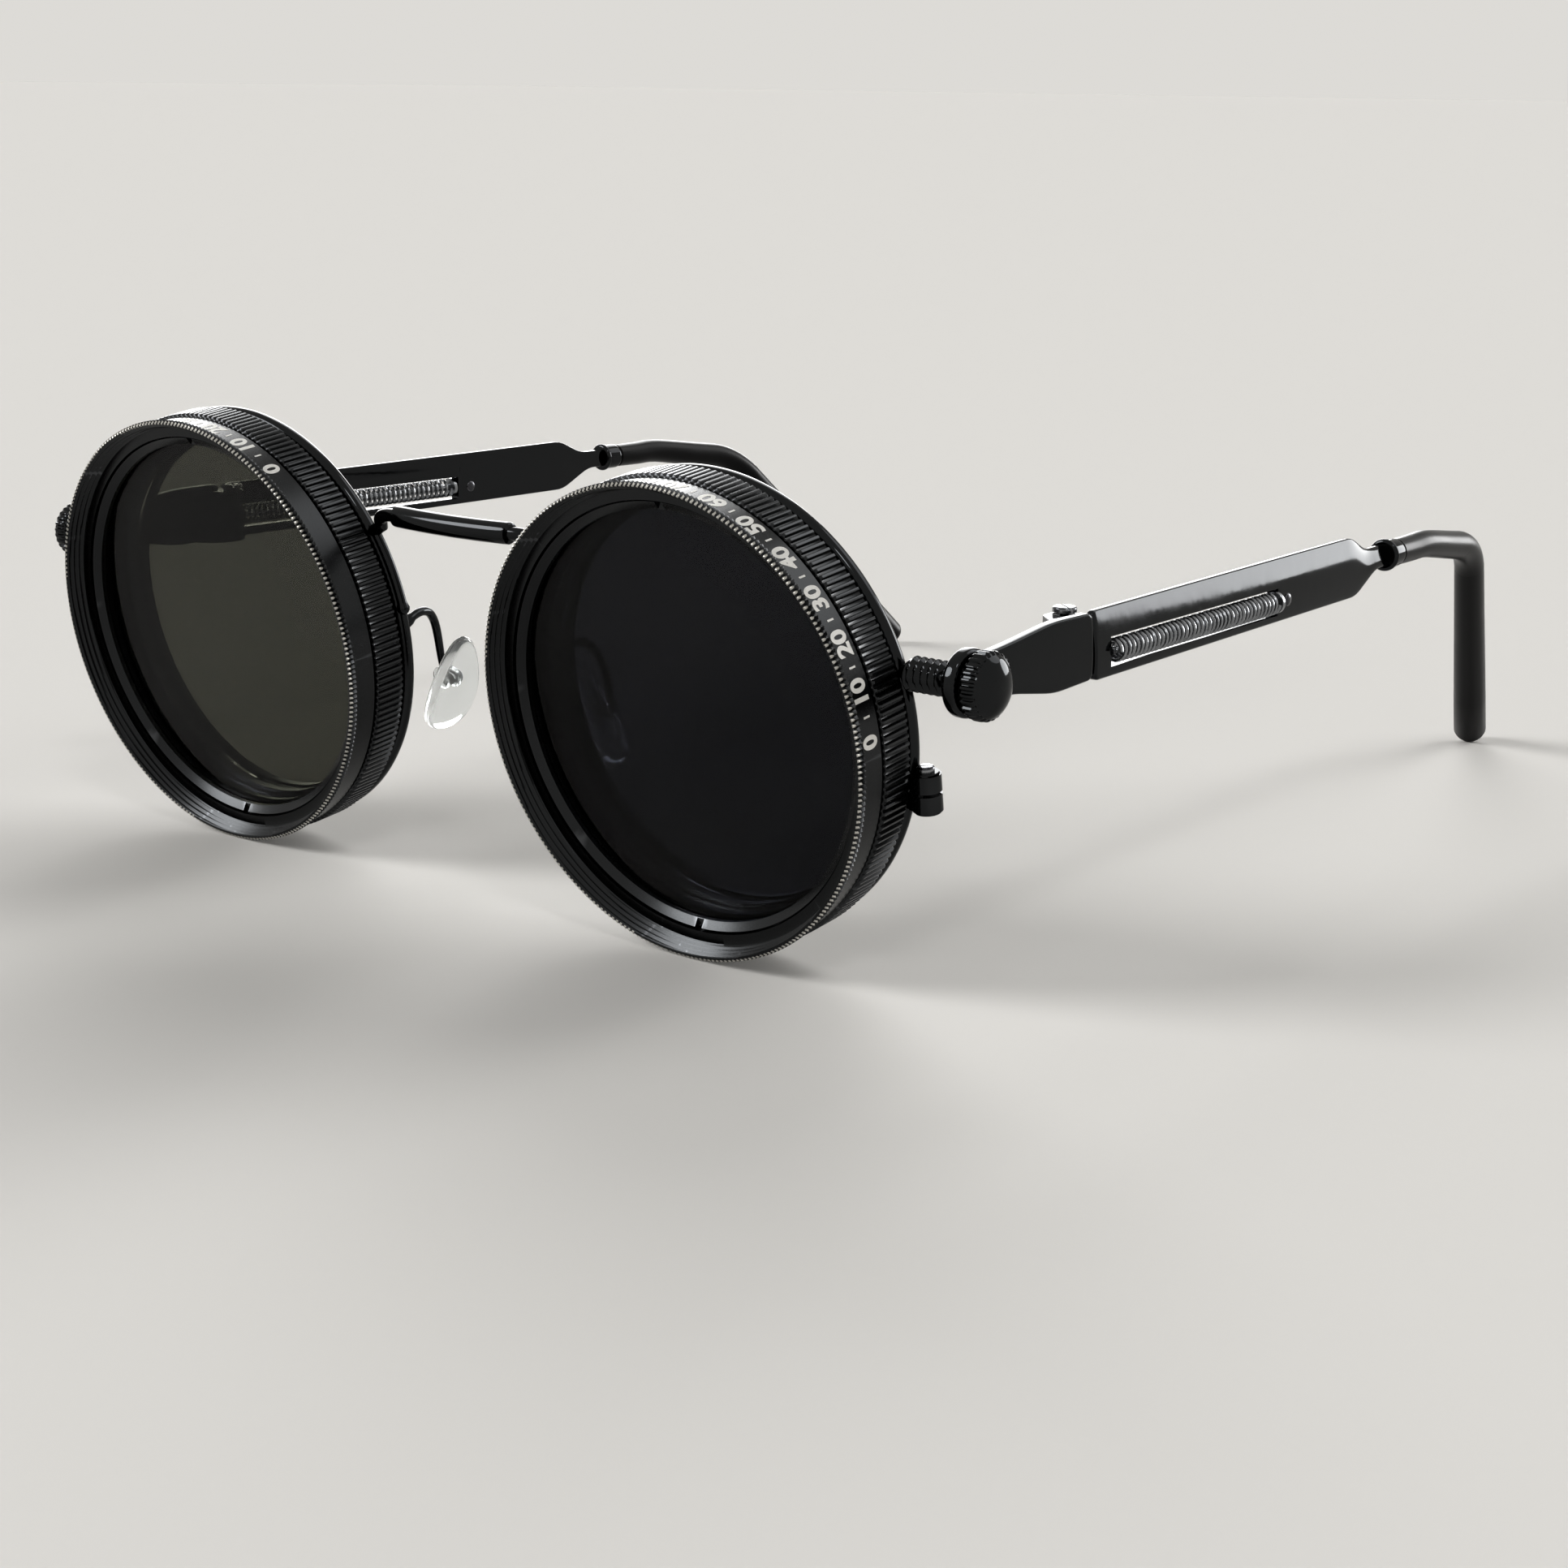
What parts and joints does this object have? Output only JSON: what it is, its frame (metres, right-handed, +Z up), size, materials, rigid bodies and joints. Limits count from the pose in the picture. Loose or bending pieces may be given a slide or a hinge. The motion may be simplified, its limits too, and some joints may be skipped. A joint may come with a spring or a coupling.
{
  "type": "steampunk glasses",
  "caption": "Round wire-framed glasses with turning screw-in grey filters, side studs with domed nuts, folding temples with a coil spring in a window, and rocking nose pads.",
  "frame": {"origin": "middle of the footprint, on the table under the glasses", "axes": "+X to the wearer's left, +Y from the lenses towards the ears, +Z up"},
  "size_m": [0.1528, 0.1676, 0.0545],
  "materials": {
    "anodised_black": "satin black anodised, fine straight knurls",
    "gloss_black": "gloss black plated metal",
    "spring_steel": "dark steel wire",
    "black_screw": "blackened slotted screws",
    "black_tip": "semi-gloss black sleeve",
    "clear_silicone": "clear soft silicone",
    "left_glass": "nearly black neutral grey glass",
    "right_glass": "olive grey glass"
  },
  "bodies": {
    "front": {"bridge": "gloss_black", "left_eyewire": "gloss_black", "left_closing_screw": "black_screw", "left_filter_base": "anodised_black", "left_rear_glass": "left_glass", "left_rear_retainer": "anodised_black", "left_side_stud": "gloss_black", "left_dome_nut": "gloss_black", "left_end_piece": "gloss_black", "left_hinge_screw": "black_screw", "left_pad_arm": "gloss_black", "left_pad_screw": "black_screw", "right_eyewire": "gloss_black", "right_closing_screw": "black_screw", "right_filter_base": "anodised_black", "right_rear_glass": "right_glass", "right_rear_retainer": "anodised_black", "right_side_stud": "gloss_black", "right_dome_nut": "gloss_black", "right_end_piece": "gloss_black", "right_hinge_screw": "black_screw", "right_pad_arm": "gloss_black", "right_pad_screw": "black_screw"},
    "left_turning": {"left_turning_ring": "anodised_black", "left_front_glass": "left_glass", "left_front_retainer": "anodised_black"},
    "left_temple": {"left_temple_plate": "gloss_black", "left_temple_spring": "spring_steel", "left_spring_rod": "spring_steel", "left_spring_pin": "black_screw", "left_tip_collar": "gloss_black", "left_temple_tip": "black_tip"},
    "left_pad": {"left_nose_pad": "clear_silicone"},
    "right_turning": {"right_turning_ring": "anodised_black", "right_front_glass": "right_glass", "right_front_retainer": "anodised_black"},
    "right_temple": {"right_temple_plate": "gloss_black", "right_temple_spring": "spring_steel", "right_spring_rod": "spring_steel", "right_spring_pin": "black_screw", "right_tip_collar": "gloss_black", "right_temple_tip": "black_tip"},
    "right_pad": {"right_nose_pad": "clear_silicone"}
  },
  "joints": [
    {"name": "left_filter_turn", "type": "hinge", "parent": "front", "child": "left_turning", "pos_m": [0.0384, -0.08, 0.02674], "axis": [0, -0.9903, -0.1392], "continuous": true},
    {"name": "left_temple_fold", "type": "hinge", "parent": "front", "child": "left_temple", "pos_m": [0.06861, -0.04867, 0.03538], "axis": [0, 0, 1], "range_deg": [0, 90]},
    {"name": "left_pad_rock", "type": "hinge", "parent": "front", "child": "left_pad", "pos_m": [0.01402, -0.06194, 0.0224], "axis": [-0.1277, 0.9883, 0.0831], "range_deg": [-10, 10]},
    {"name": "right_filter_turn", "type": "hinge", "parent": "front", "child": "right_turning", "pos_m": [-0.0384, -0.08, 0.02674], "axis": [0, -0.9903, -0.1392], "continuous": true},
    {"name": "right_temple_fold", "type": "hinge", "parent": "front", "child": "right_temple", "pos_m": [-0.06861, -0.04867, 0.03538], "axis": [0, 0, -1], "range_deg": [0, 84]},
    {"name": "right_pad_rock", "type": "hinge", "parent": "front", "child": "right_pad", "pos_m": [-0.01402, -0.06194, 0.0224], "axis": [0.1277, 0.9883, 0.0831], "range_deg": [-10, 10]}
  ]
}
